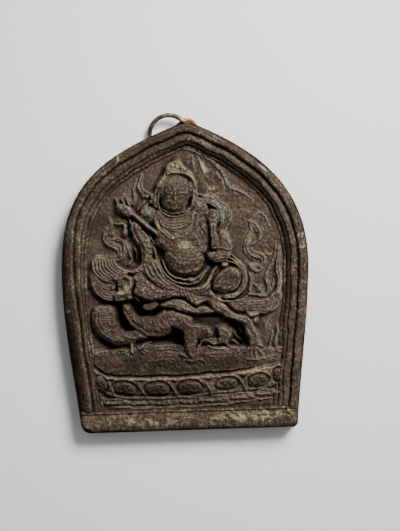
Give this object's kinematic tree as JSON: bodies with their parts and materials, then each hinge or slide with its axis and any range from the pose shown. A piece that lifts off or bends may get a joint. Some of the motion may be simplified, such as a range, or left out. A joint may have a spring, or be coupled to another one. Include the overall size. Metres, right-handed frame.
{
  "type": "tsa-tsa amulet",
  "caption": "Pointed-arch cast metal amulet with a framed relief of an armoured rider on a lion over a lotus seat, a wire eye behind its apex and a loose ring.",
  "frame": {"origin": "centre of the plaque's height on its flat back, on the line of the apex to within a millimetre", "axes": "+Z out of the face, square to the flat back; +Y up the plaque to the apex; +X to the viewer's right"},
  "size_m": [0.0596, 0.0774, 0.0084],
  "materials": {
    "field_bronze": "cast, dark red-brown patina, matt",
    "frame_bronze": "cast, dark brown patina, handled to a soft shine on the crests",
    "relief_bronze": "cast, dark brown patina with grey worn edges and green specks",
    "worn_relief": "cast, patina rubbed through to dull cream-yellow metal",
    "ring_brass": "drawn brass wire, bright",
    "ring_wire": "drawn bronze wire, brown patina with tan wear"
  },
  "bodies": {
    "plaque": {"backing_plate": "field_bronze", "outer_rim": "frame_bronze", "inner_rim": "frame_bronze", "bottom_sill": "worn_relief", "figure_head": "relief_bronze", "crown": "relief_bronze", "collar": "relief_bronze", "necklace": "relief_bronze", "belly": "relief_bronze", "raised_arm": "relief_bronze", "lowered_arm": "relief_bronze", "mongoose": "relief_bronze", "figure_torso": "relief_bronze", "belt": "relief_bronze", "bent_knee": "relief_bronze", "robe": "relief_bronze", "robe_hem": "relief_bronze", "banner_staff": "relief_bronze", "hanging_sleeve": "relief_bronze", "ribbon_hook": "relief_bronze", "left_ribbon": "relief_bronze", "inner_scarf": "relief_bronze", "outer_scarf": "relief_bronze", "right_ribbon": "relief_bronze", "ribbon_fall": "relief_bronze", "lion_mane": "worn_relief", "lion_head": "relief_bronze", "lion_body": "relief_bronze", "lion_chest": "relief_bronze", "lion_snout": "relief_bronze", "front_claw": "relief_bronze", "fore_leg": "relief_bronze", "middle_leg": "relief_bronze", "hind_leg": "relief_bronze", "hind_paw": "relief_bronze", "lion_tail": "relief_bronze", "tail_flame": "relief_bronze", "lotus_petals": "worn_relief", "lotus_platform": "relief_bronze", "lotus_scrolls": "relief_bronze", "halo": "relief_bronze", "ring_eye": "ring_brass"},
    "ring": {"hanging_ring": "ring_wire"}
  },
  "joints": [
    {"name": "ring_swing", "type": "hinge", "parent": "plaque", "child": "ring", "pos_m": [-0.00068, 0.03736, 0.0024], "axis": [0.682, -0.7314, 0], "range_deg": [0, 75]}
  ]
}
